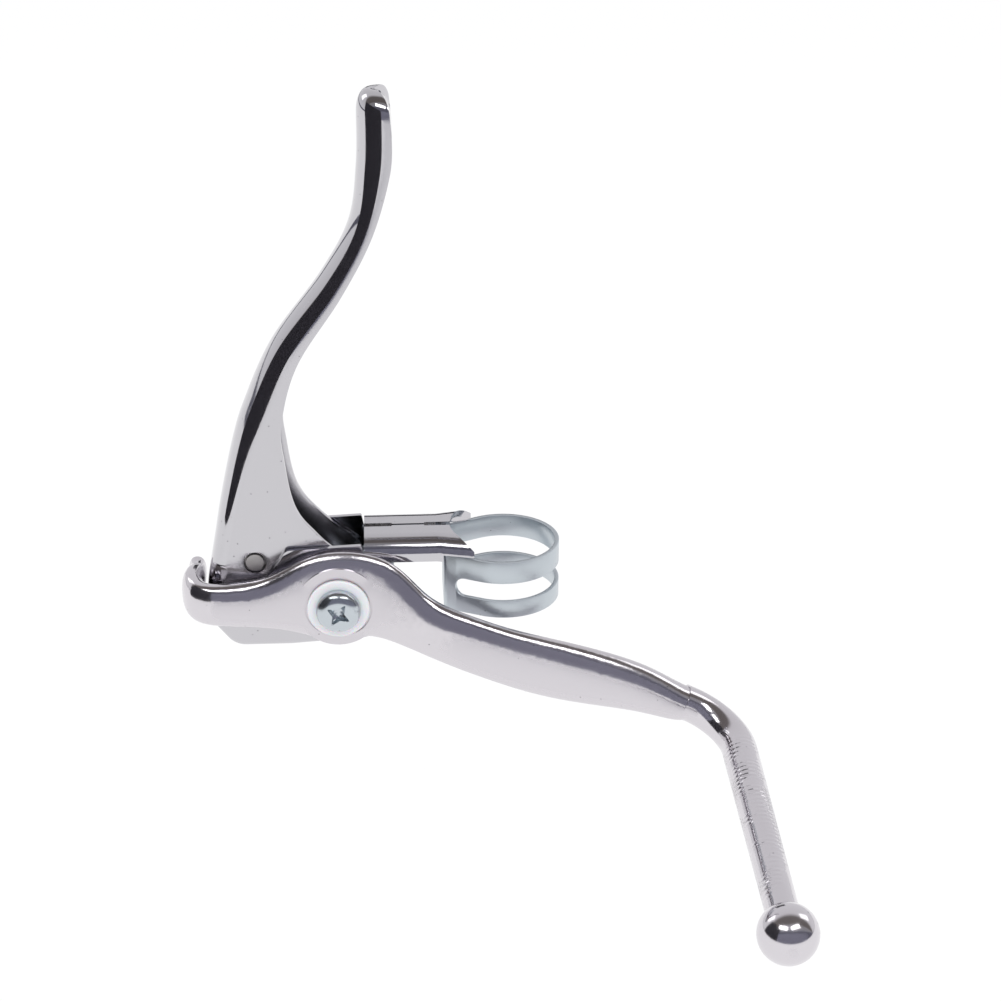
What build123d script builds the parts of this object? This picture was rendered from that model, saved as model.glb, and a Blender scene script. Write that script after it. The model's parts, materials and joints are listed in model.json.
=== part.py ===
"""Bicycle brake lever with an extension lever, for a 22.2 mm handlebar.

X runs along the lever body from its nose towards the handlebar, Y runs across it, away from
the extension lever, and Z runs along the handlebar's axis towards the blade's tip. The origin
is on the handlebar's axis, half way up the clamp band.
"""
import math
import os

from build123d import *

# Handlebar and clamp band
BAR_RADIUS = 11.1
BAR_PLAY = 0.1
BAND_SHEET = 0.9
BAND_HEIGHT = 13.0
BAND_WALL_WIDTH = 14.4
BAND_CORNER = 1.3
BAND_SLOT_TOP = 1.6
BAND_SLOT_HEIGHT = 4.3
BAND_SLOT_SWEEP = 270.0

# Clamp bolt, washer and nut
BOLT_RADIUS = 2.0
BOLT_HOLE_PLAY = 0.15
BOLT_Z = 3.7
BOLT_HEAD = 0.9
BOLT_HEAD_WIDTH = 9.0
BOLT_HEAD_HEIGHT = 4.6
BOLT_PAST_NUT = 1.8
NUT_ACROSS_FLATS = 7.0
NUT_THICKNESS = 3.2
NUT_WASHER_RADIUS = 4.5
NUT_WASHER_THICKNESS = 0.8

# Body, folded from one sheet
BODY_SHEET = 1.0
BODY_HALF_WIDTH = 8.0
BODY_BEND = 2.2
NOSE_X = -62.3
NOSE_Z = -9.5
UNDERSIDE_Z = -14.6
BODY_REAR_X = -23.6
WALL_TOP_Z = 9.4
STEM_FRONT_X = -29.9
STEM_TOP_Z = 10.4
STEM_BOTTOM_Z = 5.3
STEM_BEND = 4.0
SEAM_GAP = 1.6
SEAM_NARROW = 0.7
SEAM_NARROW_X = -24.0
SEAM_NARROW_LENGTH = 7.0
EAR_FLARE = 1.9
EAR_ROOT_X = -14.5
EAR_TIP_X = -6.6
EAR_GAP = 0.3
SADDLE_PLAY = 0.5

# Pivot
PIVOT_X = -35.6
PIVOT_Z = -2.2
SLEEVE_RADIUS = 3.5
RUNNING_CLEARANCE = 0.05
SLEEVE_FLANGE_RADIUS = 5.2
SLEEVE_FLANGE = 1.4
SCREW_RADIUS = 2.5
SCREW_HEAD_RADIUS = 4.75
SCREW_HEAD_HEIGHT = 2.8
SCREW_LENGTH = 14.0
SCREW_BORE_PLAY = 0.03
RECESS_WIDTH = 1.1
RECESS_LENGTH = 5.4
RECESS_DEPTH = 1.7
WASHER_RADIUS = 6.6
INNER_WASHER = 0.6
OUTER_WASHER = 0.9
FACE_PLAY = 0.1

# Main lever, pressed from one sheet
LEVER_SHEET = 1.2
LEVER_SIDE_GAP = 0.2
LEVER_BEND = 4.2
TIP_ROUND = 5.6
LEVER_BOSS_RADIUS = 7.5

# Cable anchor and cable stop
ANCHOR_X = -53.2
ANCHOR_Z = 5.4
ANCHOR_PIN_RADIUS = 1.9
ANCHOR_HOLE_BREAK = 0.4
ANCHOR_BARREL_RADIUS = 3.6
CABLE_RADIUS = 0.8
CABLE_PLAY = 0.2
NIPPLE_RADIUS = 2.7
NIPPLE_DEPTH = 2.6
CASING_RADIUS = 2.5
CASING_PLAY = 0.1
STOP_X = -51.5
STOP_RADIUS = 3.6
STOP_FLANGE_RADIUS = 4.2
STOP_FLANGE = 1.0
STOP_HEIGHT = 6.0
STOP_ROOF = 1.2

# Extension lever, one casting
ARM_THICKNESS = 4.9
ARM_BAR_GAP = 0.6
ARM_FLAT_X = -22.0
BOSS_FACING = 0.3
BOSS_WALL = 2.4
SPOT_FACE_PLAY = 0.5
ARM_UPPER_SHARE = 0.56
ARM_UPPER_POWER = 2.1
ARM_LOWER_POWER = 3.6
ROUND_POWER = 2.0
HOOK_UPPER_POWER = 2.3
HOOK_LOWER_POWER = 2.8
SECTION_STEPS = 16
HOOK_GAP = 0.3
HOOK_REACH = 2.6
HOOK_TIP_THICKNESS = 3.8
HOOK_TIP_HEIGHT = 6.4
HOOK_ROOT_THICKNESS = 4.8
HOOK_ROOT_HEIGHT = 9.2
ROD_RADIUS = 3.8
ROD_END_RADIUS = 3.3
ROD_BEND = 11.0
BALL_RADIUS = 6.1
BALL_CENTRE = (49.8, -87.1, -35.8)
ROD_CORNER = (49.3, -15.6, -31.9)
ARM_DIRECTION = (0.891, 0.0, -0.454)

band_inner = BAR_RADIUS + BAR_PLAY
band_outer = band_inner + BAND_SHEET
wall_inner_x = -(band_inner + BOLT_HEAD + BAR_PLAY)
wall_outer_x = wall_inner_x - BAND_SHEET
band_top = BAND_HEIGHT / 2
body_inner = BODY_HALF_WIDTH - BODY_SHEET
lever_half = body_inner - LEVER_SIDE_GAP
lever_inner = lever_half - LEVER_SHEET
arm_inner_y = -(BODY_HALF_WIDTH + INNER_WASHER + FACE_PLAY)
arm_outer_y = arm_inner_y - ARM_THICKNESS
sleeve_end_y = arm_outer_y - FACE_PLAY
washer_outer_y = sleeve_end_y - OUTER_WASHER


def across(y):
    """A plane whose sketches read (X, Z), at the depth y, with its normal towards -Y."""
    return Plane(origin=(0, y, 0), x_dir=(1, 0, 0), z_dir=(0, -1, 0))


def along_y(x, z, y):
    """A plane for round sketches about an axis along Y through (x, z), normal towards -Y."""
    return Plane(origin=(x, y, z), x_dir=(1, 0, 0), z_dir=(0, -1, 0))


def inset(points, distance):
    """Points moved to the right of their own direction of travel by a distance."""
    moved = []
    for number, (x, z) in enumerate(points):
        before = points[max(number - 1, 0)]
        after = points[min(number + 1, len(points) - 1)]
        dx = after[0] - before[0]
        dz = after[1] - before[1]
        size = math.hypot(dx, dz)
        moved.append((x + dz / size * distance, z - dx / size * distance))
    return moved


def stem_section(x, half, bottom, top, bend):
    """The stem's cross-section at x, with its two upper corners rounded."""
    with BuildSketch(Plane.YZ.offset(x)) as section:
        with Locations((0, (top + bottom) / 2)):
            Rectangle(2 * half, top - bottom)
        fillet(section.vertices().group_by(Axis.Y)[-1], bend)
    return section.sketch


def save(part, label):
    part.label = label
    export_step(part, f"parts/{label}.step")


os.makedirs("parts", exist_ok=True)

# Clamp band: a strap round the handlebar with a flat wall towards the body
with BuildPart() as clamp_band:
    with BuildSketch(Plane.XY.offset(-BAND_HEIGHT / 2)):
        with BuildSketch() as band_shape:
            with BuildLine():
                CenterArc((0, 0), band_outer, 0, 360)
                Line((wall_outer_x, -BAND_WALL_WIDTH / 2), (wall_outer_x, BAND_WALL_WIDTH / 2))
            make_hull()
            fillet(band_shape.vertices().group_by(Axis.X)[0], BAND_CORNER)
        with BuildSketch(mode=Mode.PRIVATE) as band_hollow:
            with BuildLine():
                CenterArc((0, 0), band_inner, 0, 360)
                Line(
                    (wall_inner_x, BAND_SHEET - BAND_WALL_WIDTH / 2),
                    (wall_inner_x, BAND_WALL_WIDTH / 2 - BAND_SHEET),
                )
            make_hull()
            fillet(band_hollow.vertices().group_by(Axis.X)[0], BAND_CORNER - BAND_SHEET)
        add(band_hollow.sketch, mode=Mode.SUBTRACT)
    extrude(amount=BAND_HEIGHT)
    slot_centre_z = BAND_SLOT_TOP - BAND_SLOT_HEIGHT / 2
    with BuildSketch(Plane.XZ.rotated((0, 0, -BAND_SLOT_SWEEP / 2))):
        with Locations((band_inner, slot_centre_z)):
            Rectangle(BAND_SHEET * 4, BAND_SLOT_HEIGHT)
    revolve(axis=Axis.Z, revolution_arc=BAND_SLOT_SWEEP, mode=Mode.SUBTRACT)
    for side in (-1, 1):
        with BuildSketch(Plane.YZ.rotated((0, 0, side * BAND_SLOT_SWEEP / 2))):
            with Locations((0, slot_centre_z)):
                Circle(BAND_SLOT_HEIGHT / 2)
        extrude(amount=band_outer + BAND_SHEET, mode=Mode.SUBTRACT)
    with BuildSketch(Plane.YZ.offset(wall_inner_x)):
        with Locations((0, BOLT_Z)):
            Circle(BOLT_RADIUS + BOLT_HOLE_PLAY)
    extrude(amount=-BAND_SHEET * 2, mode=Mode.SUBTRACT)
save(clamp_band.part, "clamp_band")

# Body: a deep channel under a shallow stem that ends in a saddle for the handlebar
stem_shoulder_z = STEM_TOP_Z - STEM_BEND
under_line = [
    (NOSE_X, NOSE_Z),
    (NOSE_X + 4.0, UNDERSIDE_Z),
    (STOP_X + 5.4, UNDERSIDE_Z),
    (PIVOT_X + 7.4, UNDERSIDE_Z + 1.2),
    (BODY_REAR_X, BOLT_Z - NUT_WASHER_RADIUS - 1.8),
    (BODY_REAR_X, stem_shoulder_z),
]
under_radii = [5.0, 9.0, 4.0, 4.0]
top_line = [
    (STEM_FRONT_X, stem_shoulder_z),
    (STEM_FRONT_X - 0.6, WALL_TOP_Z),
    (STEM_FRONT_X - 16.6, WALL_TOP_Z - 0.8),
    (ANCHOR_X + 5.2, WALL_TOP_Z - 3.4),
    (ANCHOR_X + 2.5, ANCHOR_Z - 2.6),
    (NOSE_X + 4.3, NOSE_Z + 4.5),
]
top_radii = [0.4, 1.6, 2.0, 3.0]
hollow_top_z = STEM_TOP_Z + 9
with BuildPart() as body_bracket:
    with BuildSketch(across(BODY_HALF_WIDTH)):
        with BuildLine():
            FilletPolyline(*under_line, radius=under_radii)
            FilletPolyline(*top_line, radius=top_radii)
            Line(under_line[-1], top_line[0])
            Line(top_line[-1], under_line[0])
        make_face()
    extrude(amount=2 * BODY_HALF_WIDTH)
    sides = body_bracket.faces().filter_by(Axis.Y)
    bends = sides.edges().filter_by(lambda e: e.center().Z < NOSE_Z - 2 or e.center().X > BODY_REAR_X - 3)
    fillet(bends.filter_by(lambda e: e.center().Z < STEM_BOTTOM_Z), BODY_BEND)
    with BuildPart(mode=Mode.PRIVATE) as body_hollow:
        with BuildSketch(across(body_inner)):
            with BuildLine():
                FilletPolyline(*under_line, radius=under_radii)
                Polyline(
                    under_line[-1],
                    (BODY_REAR_X, hollow_top_z),
                    (NOSE_X - 30, hollow_top_z),
                    under_line[0],
                )
            make_face()
            offset(amount=-BODY_SHEET)
        extrude(amount=2 * body_inner)
    add(body_hollow.part, mode=Mode.SUBTRACT)
    stem_outer = (STEM_BOTTOM_Z, STEM_TOP_Z, STEM_BEND)
    stem_inner = (STEM_BOTTOM_Z - 5, STEM_TOP_Z - BODY_SHEET, STEM_BEND - BODY_SHEET)
    with BuildPart(mode=Mode.PRIVATE) as stem:
        length = EAR_ROOT_X - STEM_FRONT_X
        extrude(stem_section(STEM_FRONT_X, BODY_HALF_WIDTH, *stem_outer), amount=length)
        loft([
            stem_section(EAR_ROOT_X, BODY_HALF_WIDTH, *stem_outer),
            stem_section(EAR_TIP_X, BODY_HALF_WIDTH + EAR_FLARE, *stem_outer),
        ])
        extrude(stem_section(STEM_FRONT_X, body_inner, *stem_inner), amount=length, mode=Mode.SUBTRACT)
        loft(
            [
                stem_section(EAR_ROOT_X, body_inner, *stem_inner),
                stem_section(EAR_TIP_X, body_inner + EAR_FLARE, *stem_inner),
            ],
            mode=Mode.SUBTRACT,
        )
        with Locations((wall_outer_x, 0, band_top + EAR_GAP)):
            Box(
                BAR_RADIUS,
                BODY_HALF_WIDTH * 3,
                BAND_HEIGHT,
                align=(Align.MIN, Align.CENTER, Align.MAX),
                mode=Mode.SUBTRACT,
            )
        with Locations((0, 0, STEM_TOP_Z)):
            Cylinder(BAR_RADIUS + SADDLE_PLAY, BAND_HEIGHT * 2, mode=Mode.SUBTRACT)
        with Locations((STEM_FRONT_X, 0, STEM_TOP_Z)):
            seam_length = -STEM_FRONT_X
            seam_align = (Align.MIN, Align.CENTER, Align.CENTER)
            Box(seam_length, SEAM_NARROW, BODY_SHEET * 3, align=seam_align, mode=Mode.SUBTRACT)
        for start in (STEM_FRONT_X, SEAM_NARROW_X + SEAM_NARROW_LENGTH):
            with Locations((start, 0, STEM_TOP_Z)):
                length = SEAM_NARROW_X - STEM_FRONT_X
                Box(length, SEAM_GAP, BODY_SHEET * 3, align=seam_align, mode=Mode.SUBTRACT)
    add(stem.part)
    with BuildSketch(along_y(PIVOT_X, PIVOT_Z, BODY_HALF_WIDTH)):
        Circle(SLEEVE_RADIUS)
    extrude(amount=2 * BODY_HALF_WIDTH, mode=Mode.SUBTRACT)
    with BuildSketch(Plane.YZ.offset(BODY_REAR_X)):
        with Locations((0, BOLT_Z)):
            Circle(BOLT_RADIUS + BOLT_HOLE_PLAY)
    extrude(amount=-2 * BODY_SHEET, mode=Mode.SUBTRACT)
    with BuildSketch(Plane.XY.offset(UNDERSIDE_Z)):
        with Locations((STOP_X, 0)):
            Circle(STOP_RADIUS)
    extrude(amount=2 * BODY_SHEET, mode=Mode.SUBTRACT)
save(body_bracket.part, "body_bracket")

# Main lever: a channel open towards the handlebar, closed and rounded at the tip
crown = [
    (-64.0, -2.2),
    (-62.6, 5.6),
    (-60.0, 19.0),
    (-57.1, 31.3),
    (-54.2, 40.1),
    (-48.0, 53.4),
    (-37.6, 67.6),
    (-31.4, 79.0),
    (-29.5, 91.0),
    (-29.2, 101.5),
]
open_edge = [
    (-22.3, 101.8),
    (-22.2, 94.2),
    (-23.2, 86.0),
    (-28.0, 73.6),
    (-37.6, 57.3),
    (-43.4, 49.0),
    (-46.2, 41.0),
    (-46.0, 28.2),
    (-44.0, 17.7),
    (-39.0, 10.8),
]
tip_top = (-25.9, 106.1)
boss_start = math.radians(55)
boss_top = (
    PIVOT_X + LEVER_BOSS_RADIUS * math.cos(boss_start),
    PIVOT_Z + LEVER_BOSS_RADIUS * math.sin(boss_start),
)
boss_low = (PIVOT_X, PIVOT_Z - LEVER_BOSS_RADIUS)
boss_right = (PIVOT_X + LEVER_BOSS_RADIUS, PIVOT_Z)
crown_end = crown[0]
with BuildPart() as main_lever:
    with BuildSketch(across(lever_half)):
        with BuildLine():
            Spline(*crown)
            ThreePointArc(crown[-1], tip_top, open_edge[0])
            Spline(*open_edge, boss_top, tangents=[(0.1, -1), (math.sin(boss_start), -math.cos(boss_start))])
            ThreePointArc(boss_top, boss_right, boss_low)
            Polyline(boss_low, (crown_end[0] + 9, PIVOT_Z - 4.2), (crown_end[0] + 4, crown_end[1]), crown_end)
        make_face()
    extrude(amount=2 * lever_half)
    sides = main_lever.faces().filter_by(Axis.Y)
    crown_edges = sides.edges().filter_by(lambda e: e.length > 90 and e.center().X < -45)
    fillet(crown_edges, LEVER_BEND)
    with BuildSketch(Plane.YZ.offset(crown_end[0] - LEVER_BEND)):
        with Locations((0, -tip_top[1])):
            RectangleRounded(2 * lever_half, 4 * tip_top[1], TIP_ROUND)
    extrude(amount=-crown_end[0], mode=Mode.INTERSECT)
    inner_crown = inset(crown, LEVER_SHEET)
    with BuildPart(mode=Mode.PRIVATE) as lever_hollow:
        with BuildSketch(across(lever_inner)):
            with BuildLine():
                low = (inner_crown[0][0], crown_end[1] - 12)
                roof_z = tip_top[1] - 2 * LEVER_SHEET
                Spline(*inner_crown)
                Polyline(
                    inner_crown[-1],
                    (inner_crown[-1][0] + LEVER_SHEET, roof_z),
                    (0, roof_z),
                    (0, low[1]),
                    low,
                    inner_crown[0],
                )
            make_face()
        extrude(amount=2 * lever_inner)
        hollow_sides = lever_hollow.faces().filter_by(Axis.Y)
        hollow_edges = hollow_sides.edges().filter_by(lambda e: e.length > 90 and e.center().X < -30)
        fillet(hollow_edges, LEVER_BEND - LEVER_SHEET)
    add(lever_hollow.part, mode=Mode.SUBTRACT)
    with BuildSketch(along_y(PIVOT_X, PIVOT_Z, lever_half)):
        Circle(SLEEVE_RADIUS + RUNNING_CLEARANCE)
    extrude(amount=2 * lever_half, mode=Mode.SUBTRACT)
    with BuildSketch(along_y(ANCHOR_X, ANCHOR_Z, lever_half)):
        Circle(ANCHOR_PIN_RADIUS + RUNNING_CLEARANCE)
    extrude(amount=2 * lever_half, mode=Mode.SUBTRACT)
    anchor_rims = main_lever.edges().filter_by(GeomType.CIRCLE).filter_by(
        lambda e: e.radius < ANCHOR_PIN_RADIUS * 1.2 and abs(e.center().Y) > lever_inner + LEVER_SHEET / 2
    )
    chamfer(anchor_rims, ANCHOR_HOLE_BREAK)
save(main_lever.part, "main_lever")

# Pivot: a flanged sleeve with an inside thread, its screw and two plastic washers
with BuildPart() as pivot_sleeve:
    with BuildSketch(along_y(PIVOT_X, PIVOT_Z, BODY_HALF_WIDTH)):
        Circle(SLEEVE_RADIUS)
    extrude(amount=BODY_HALF_WIDTH - sleeve_end_y)
    with BuildSketch(along_y(PIVOT_X, PIVOT_Z, BODY_HALF_WIDTH)):
        Circle(SLEEVE_FLANGE_RADIUS)
    extrude(amount=-SLEEVE_FLANGE)
    fillet(pivot_sleeve.edges().filter_by(GeomType.CIRCLE).sort_by(Axis.Y)[-1], SLEEVE_FLANGE * 0.6)
    with BuildSketch(along_y(PIVOT_X, PIVOT_Z, sleeve_end_y)):
        Circle(SCREW_RADIUS + SCREW_BORE_PLAY)
    extrude(amount=-SCREW_LENGTH - 1, mode=Mode.SUBTRACT)
    with BuildSketch(along_y(PIVOT_X, PIVOT_Z, BODY_HALF_WIDTH + SLEEVE_FLANGE)):
        Rectangle(SLEEVE_FLANGE_RADIUS * 3, RECESS_WIDTH)
    extrude(amount=SLEEVE_FLANGE * 0.6, mode=Mode.SUBTRACT)
save(pivot_sleeve.part, "pivot_sleeve")

with BuildPart() as pivot_screw:
    with BuildSketch(along_y(PIVOT_X, PIVOT_Z, washer_outer_y)):
        Circle(SCREW_HEAD_RADIUS)
    extrude(amount=SCREW_HEAD_HEIGHT)
    head_rim = pivot_screw.edges().filter_by(GeomType.CIRCLE).sort_by(Axis.Y)[0]
    fillet(head_rim, SCREW_HEAD_HEIGHT * 0.75)
    with BuildSketch(along_y(PIVOT_X, PIVOT_Z, washer_outer_y)):
        Circle(SCREW_RADIUS)
    extrude(amount=-SCREW_LENGTH)
    with BuildSketch(along_y(PIVOT_X, PIVOT_Z, washer_outer_y - SCREW_HEAD_HEIGHT)):
        Rectangle(RECESS_LENGTH, RECESS_WIDTH)
        Rectangle(RECESS_WIDTH, RECESS_LENGTH)
    extrude(amount=-RECESS_DEPTH, taper=14, mode=Mode.SUBTRACT)
save(pivot_screw.part, "pivot_screw")

for label, start, thickness, hole in (
    ("inner_washer", -BODY_HALF_WIDTH, INNER_WASHER, SLEEVE_RADIUS + RUNNING_CLEARANCE),
    ("outer_washer", sleeve_end_y, OUTER_WASHER, SCREW_RADIUS + RUNNING_CLEARANCE),
):
    with BuildPart() as washer:
        with BuildSketch(along_y(PIVOT_X, PIVOT_Z, start)):
            Circle(WASHER_RADIUS)
            Circle(hole, mode=Mode.SUBTRACT)
        extrude(amount=thickness)
        chamfer(washer.edges().filter_by(GeomType.CIRCLE).sort_by(SortBy.RADIUS)[-2:], thickness * 0.25)
    save(washer.part, label)

# Clamp bolt with a flat head inside the band, its washer and nut inside the body
nut_seat_x = BODY_REAR_X - BODY_SHEET
nut_face_x = nut_seat_x - NUT_WASHER_THICKNESS
nut_end_x = nut_face_x - NUT_THICKNESS
with BuildPart() as clamp_bolt:
    with BuildSketch(Plane.YZ.offset(wall_inner_x)):
        with Locations((0, BOLT_Z)):
            RectangleRounded(BOLT_HEAD_WIDTH, BOLT_HEAD_HEIGHT, BOLT_HEAD_HEIGHT / 4)
    extrude(amount=BOLT_HEAD)
    with BuildSketch(Plane.YZ.offset(wall_inner_x)):
        with Locations((0, BOLT_Z)):
            Circle(BOLT_RADIUS)
    extrude(amount=nut_end_x - BOLT_PAST_NUT - wall_inner_x)
    chamfer(clamp_bolt.edges().filter_by(GeomType.CIRCLE).sort_by(Axis.X)[0], BOLT_RADIUS / 4)
save(clamp_bolt.part, "clamp_bolt")

with BuildPart() as clamp_washer:
    with BuildSketch(Plane.YZ.offset(nut_seat_x)):
        with Locations((0, BOLT_Z)):
            Circle(NUT_WASHER_RADIUS)
            Circle(BOLT_RADIUS + RUNNING_CLEARANCE, mode=Mode.SUBTRACT)
    extrude(amount=-NUT_WASHER_THICKNESS)
save(clamp_washer.part, "clamp_washer")

with BuildPart() as clamp_nut:
    with BuildSketch(Plane.YZ.offset(nut_face_x)):
        with Locations((0, BOLT_Z)):
            RegularPolygon(NUT_ACROSS_FLATS / 2, 6, major_radius=False)
            Circle(BOLT_RADIUS + SCREW_BORE_PLAY, mode=Mode.SUBTRACT)
    extrude(amount=-NUT_THICKNESS)
save(clamp_nut.part, "clamp_nut")

# Cable anchor: a barrel that turns in the lever's walls, with a seat for the cable's nipple
with BuildPart() as cable_anchor:
    with BuildSketch(along_y(ANCHOR_X, ANCHOR_Z, lever_half)):
        Circle(ANCHOR_PIN_RADIUS)
    extrude(amount=2 * lever_half)
    with BuildSketch(along_y(ANCHOR_X, ANCHOR_Z, lever_inner - LEVER_SIDE_GAP)):
        Circle(ANCHOR_BARREL_RADIUS)
    extrude(amount=2 * (lever_inner - LEVER_SIDE_GAP))
    with Locations((ANCHOR_X, 0, ANCHOR_Z)):
        Cylinder(CABLE_RADIUS + CABLE_PLAY, ANCHOR_BARREL_RADIUS * 3, mode=Mode.SUBTRACT)
    with Locations((ANCHOR_X, 0, ANCHOR_Z + ANCHOR_BARREL_RADIUS - NIPPLE_DEPTH)):
        nipple_align = (Align.CENTER, Align.CENTER, Align.MIN)
        Cylinder(NIPPLE_RADIUS, NIPPLE_DEPTH * 2, align=nipple_align, mode=Mode.SUBTRACT)
save(cable_anchor.part, "cable_anchor")

# Cable stop: a cup in the body's underside that takes the end of the cable's casing
with BuildPart() as cable_stop:
    with BuildSketch(Plane.XY.offset(UNDERSIDE_Z)):
        with Locations((STOP_X, 0)):
            Circle(STOP_RADIUS)
    extrude(amount=STOP_HEIGHT)
    with BuildSketch(Plane.XY.offset(UNDERSIDE_Z + BODY_SHEET)):
        with Locations((STOP_X, 0)):
            Circle(STOP_FLANGE_RADIUS)
    extrude(amount=STOP_FLANGE)
    with BuildSketch(Plane.XY.offset(UNDERSIDE_Z)):
        with Locations((STOP_X, 0)):
            Circle(CASING_RADIUS + CASING_PLAY)
    extrude(amount=STOP_HEIGHT - STOP_ROOF, mode=Mode.SUBTRACT)
    with Locations((STOP_X, 0, UNDERSIDE_Z)):
        Cylinder(CABLE_RADIUS + CABLE_PLAY, STOP_HEIGHT * 3, mode=Mode.SUBTRACT)
save(cable_stop.part, "cable_stop")

# Extension lever: a hook round the main lever's front, a boss, an arm beside the handlebar,
# and a round rod towards the rider that ends in a ball
arm_clear_y = -(band_outer + ARM_BAR_GAP)
cast_inner_y = arm_inner_y + BOSS_FACING
cast_thickness = ARM_THICKNESS + 2 * BOSS_FACING
arm_stations = [
    (NOSE_X + 6.0, 2.9, -7.0, cast_inner_y, cast_thickness),
    (PIVOT_X - 15.0, 4.0, -7.6, cast_inner_y, cast_thickness),
    (PIVOT_X - 8.0, 7.4, -9.2, cast_inner_y, cast_thickness),
    (PIVOT_X, 9.6, -11.2, cast_inner_y, cast_thickness),
    (PIVOT_X + 7.6, 8.2, -10.6, cast_inner_y - 0.3, cast_thickness),
    (PIVOT_X + 15.6, 1.6, -12.6, arm_inner_y - 1.6, cast_thickness),
    (-12.0, -2.6, -15.6, arm_clear_y + 0.6, cast_thickness),
    (-2.0, -6.4, -19.6, arm_clear_y, cast_thickness + 0.4),
    (9.0, -9.8, -23.4, arm_clear_y + 0.1, cast_thickness + 1.0),
    (20.0, -13.4, -25.9, arm_clear_y + 0.6, cast_thickness + 1.8),
    (29.0, -17.2, -27.8, arm_clear_y + 0.8, cast_thickness + 2.0),
    (34.5, -20.4, -29.4, arm_clear_y + 0.8, cast_thickness + 2.0),
]
ball = Vector(*BALL_CENTRE)
rod_corner = Vector(*ROD_CORNER)
arm_direction = Vector(*ARM_DIRECTION).normalized()
rod_direction = (ball - rod_corner).normalized()
bend_turn = math.radians(arm_direction.get_angle(rod_direction))
bend_tangent = ROD_BEND * math.tan(bend_turn / 2)
bend_start = rod_corner - arm_direction * bend_tangent
bend_end = rod_corner + rod_direction * bend_tangent


def casting_section(plane, width, height, upper, lower, share):
    """A rounded section whose upper part, a share of its height, is rounder than its lower part."""
    points = []
    for step in range(SECTION_STEPS):
        turn = 2 * math.pi * step / SECTION_STEPS
        rising = math.sin(turn) > 0
        power = 2 / (upper if rising else lower)
        reach = height * (share if rising else 1 - share)
        u = math.copysign(abs(math.cos(turn)) ** power, math.cos(turn)) * width / 2
        v = math.copysign(abs(math.sin(turn)) ** power, math.sin(turn)) * reach
        points.append((u, v))
    with BuildSketch(plane) as section:
        with BuildLine():
            Spline(*points, periodic=True)
        make_face()
    return section.sketch


def hook_section(place, turn, width, height):
    """A section across the hook, whose direction of travel is turned from +X by an angle."""
    travel = math.radians(turn)
    across_hook = (-math.sin(travel), math.cos(travel), 0)
    plane = Plane(origin=place, x_dir=across_hook, z_dir=(math.cos(travel), math.sin(travel), 0))
    return casting_section(plane, width, height, HOOK_UPPER_POWER, HOOK_LOWER_POWER, 0.5)


# The hook grows from its tip to its root, then turns into the arm
hook_stations = [
    (HOOK_REACH, -0.7, -90, 0.0),
    (HOOK_REACH - 4.5, -1.0, -90, 0.5),
    (HOOK_REACH - 8.4, -1.4, -86, 1.0),
]
hook_inner_x = crown_end[0] - HOOK_GAP
arm_sections = []
for y, z, turn, growth in hook_stations:
    thickness = HOOK_TIP_THICKNESS + growth * (HOOK_ROOT_THICKNESS - HOOK_TIP_THICKNESS)
    height = HOOK_TIP_HEIGHT + growth * (HOOK_ROOT_HEIGHT - HOOK_TIP_HEIGHT)
    arm_sections.append(hook_section((hook_inner_x - thickness / 2, y, z), turn, thickness, height))
hook_corner = (hook_inner_x - 0.7, cast_inner_y - 1.5, -1.8)
arm_sections.append(hook_section(hook_corner, -48, HOOK_ROOT_THICKNESS, HOOK_ROOT_HEIGHT))
centres = [(x, (top + low) / 2) for x, top, low, inner_y, thickness in arm_stations]
centres.append((bend_start.X, bend_start.Z))
for number, (x, top, low, inner_y, thickness) in enumerate(arm_stations):
    behind = centres[max(number - 1, 0)]
    ahead = centres[number + 1]
    slope = math.atan2(ahead[1] - behind[1], ahead[0] - behind[0])
    height = (top - low) * math.cos(slope)
    middle_z = low + (top - low) * (1 - ARM_UPPER_SHARE)
    place = Plane(
        origin=(x, inner_y - thickness / 2, middle_z),
        x_dir=(0, 1, 0),
        z_dir=(math.cos(slope), 0, math.sin(slope)),
    )
    arm_form = (ARM_UPPER_POWER, ARM_LOWER_POWER, ARM_UPPER_SHARE)
    arm_sections.append(casting_section(place, thickness, height, *arm_form))
rod_plane = Plane(origin=bend_start, x_dir=(0, 1, 0), z_dir=arm_direction)
rod_sink = ROD_RADIUS / 2
arm_end = ROD_RADIUS * 2 - BOSS_FACING / 2
arm_sections.append(casting_section(rod_plane, arm_end, arm_end, ROUND_POWER, ROUND_POWER, 0.5))

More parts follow.
